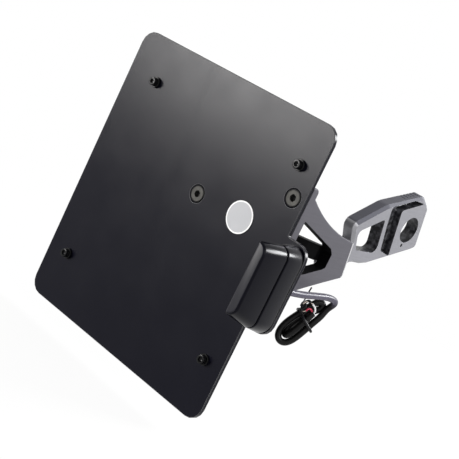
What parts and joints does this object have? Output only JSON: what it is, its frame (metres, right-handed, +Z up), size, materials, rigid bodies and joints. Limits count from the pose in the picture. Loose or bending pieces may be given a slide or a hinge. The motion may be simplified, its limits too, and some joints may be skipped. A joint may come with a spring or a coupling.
{
  "type": "motorcycle side mount license plate holder",
  "caption": "Side mount license plate holder: flat plate with ear lamp on a machined arm, with an axle adapter and a tied cable.",
  "frame": {"origin": "centre of the axle hole on the adapter's outer face", "axes": "+X towards the motorcycle along the axle, +Y forwards, +Z up; the plate looks to -Y"},
  "size_m": [0.2009, 0.2019, 0.2],
  "materials": {
    "satin_black": "satin",
    "arm_grey": "satin",
    "adapter_grey": "satin",
    "black_steel": "satin",
    "grey_steel": "satin",
    "black_plastic": "satin",
    "black_rubber": "matte",
    "clear_lens": "gloss",
    "board_green": "matte",
    "cable_sleeve": "satin",
    "red_plastic": "satin",
    "white_plastic": "satin",
    "label_silver": "matte"
  },
  "bodies": {
    "root": {"base_plate": "satin_black", "plate_screw_1": "black_steel", "plate_screw_2": "black_steel", "plate_screw_3": "black_steel", "plate_screw_4": "black_steel", "plate_washer_1": "black_steel", "plate_washer_2": "black_steel", "plate_washer_3": "black_steel", "plate_washer_4": "black_steel", "plate_nut_1": "black_steel", "plate_nut_2": "black_steel", "plate_nut_3": "black_steel", "plate_nut_4": "black_steel", "countersunk_screw_1": "grey_steel", "countersunk_screw_2": "grey_steel", "countersunk_screw_3": "grey_steel", "round_label": "label_silver", "arm": "arm_grey", "axle_adapter": "adapter_grey", "adapter_screw_1": "black_steel", "adapter_screw_2": "black_steel", "lamp_gasket": "black_rubber", "lamp_base": "black_plastic", "lamp_cover": "black_plastic", "lamp_lens": "clear_lens", "led_board": "board_green", "lamp_stud_1": "grey_steel", "lamp_stud_2": "grey_steel", "lamp_washer_1": "grey_steel", "lamp_washer_2": "grey_steel", "lamp_nut_1": "grey_steel", "lamp_nut_2": "grey_steel", "cable_grommet": "black_rubber", "cable": "cable_sleeve", "cable_hank": "cable_sleeve", "cable_tie": "black_plastic", "red_wire": "red_plastic", "white_wire": "white_plastic"}
  },
  "joints": []
}
